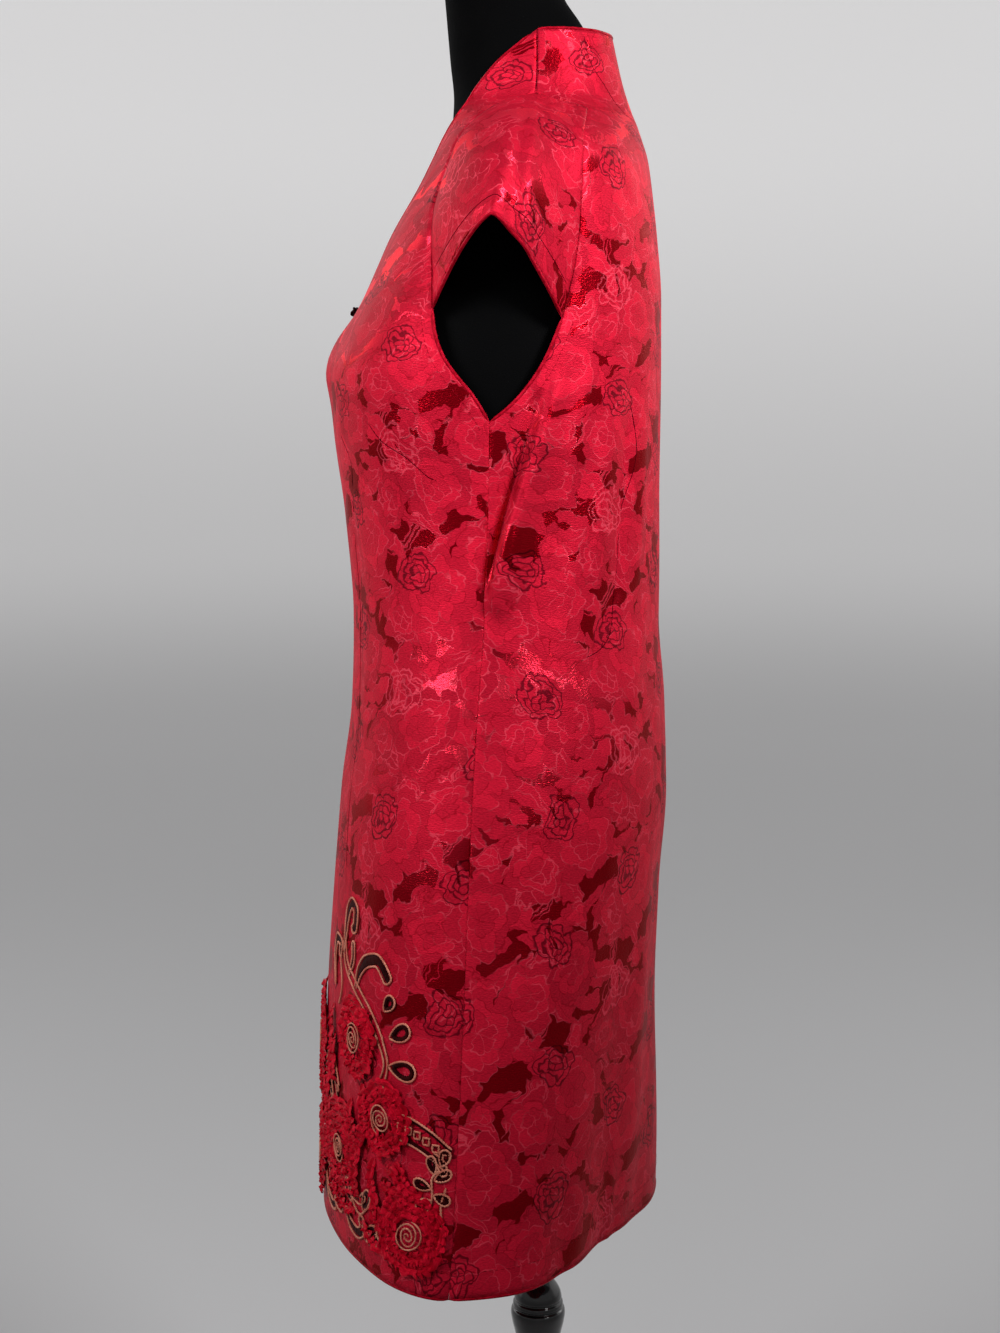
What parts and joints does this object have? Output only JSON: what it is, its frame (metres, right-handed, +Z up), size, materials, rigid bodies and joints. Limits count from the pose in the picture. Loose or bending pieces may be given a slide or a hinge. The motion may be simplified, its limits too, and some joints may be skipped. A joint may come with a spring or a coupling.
{
  "type": "cheongsam dress on a dress form",
  "caption": "Knee-length red jacquard cheongsam with cap sleeves and a funnel collar, worn on a black limbless dress form with a turned stand.",
  "frame": {"origin": "centre of the round base's underside, on the pole axis", "axes": "+Z up along the pole, -Y the front of the dress, +X the wearer's left side"},
  "size_m": [0.4405, 0.3372, 1.5935],
  "materials": {
    "satin": "tonal floral jacquard satin",
    "cord": "dark silk cord",
    "jersey": "matt black jersey over a padded form",
    "lacquer": "gloss black lacquer"
  },
  "bodies": {
    "root": {"front_panel": "satin", "back_panel_left": "satin", "back_panel_right": "satin", "cap_sleeve_left": "satin", "cap_sleeve_right": "satin", "knot_button": "cord", "button_loop": "cord", "form_torso": "jersey", "form_pole": "lacquer", "turned_column": "lacquer", "round_base": "lacquer"}
  },
  "joints": []
}
